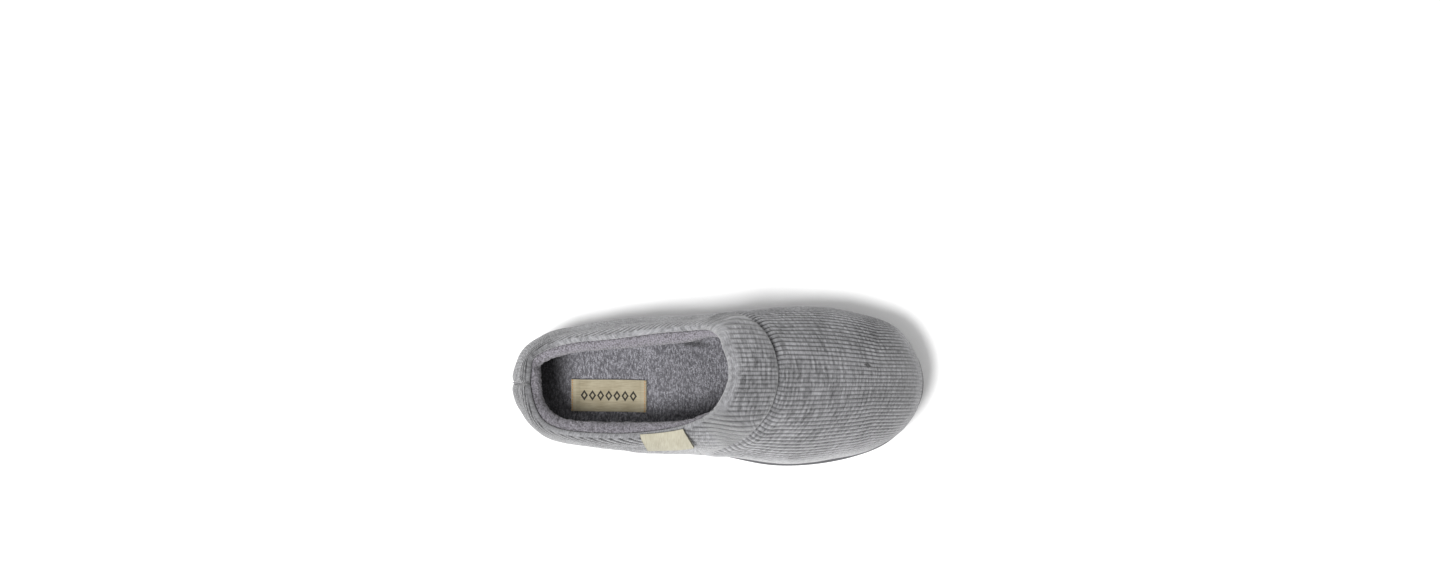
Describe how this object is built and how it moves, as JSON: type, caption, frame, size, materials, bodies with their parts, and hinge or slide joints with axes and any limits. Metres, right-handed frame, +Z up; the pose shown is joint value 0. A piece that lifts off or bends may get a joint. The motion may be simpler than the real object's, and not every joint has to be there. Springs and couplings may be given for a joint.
{
  "type": "knitted slipper",
  "caption": "Closed-toe rib-knit house slipper with a padded cuff collar, terry footbed and low moulded sole, right foot.",
  "frame": {"origin": "centre of the bounding box, on the ground plane under the sole", "axes": "+X to the toe, +Y to the inner (medial) side, +Z up"},
  "size_m": [0.262, 0.1014, 0.0844],
  "materials": {
    "sole": "matt moulded",
    "footbed": "terry",
    "knit": "heathered rib knit",
    "cuff": "heathered rib knit",
    "lining": "terry",
    "seam": "sewing thread",
    "label": "woven ribbon",
    "tag": "woven ribbon"
  },
  "bodies": {
    "root": {"outsole": "sole", "insole": "footbed", "upper": "knit", "collar": "cuff", "insole_label": "label", "side_tag": "tag"}
  },
  "joints": []
}
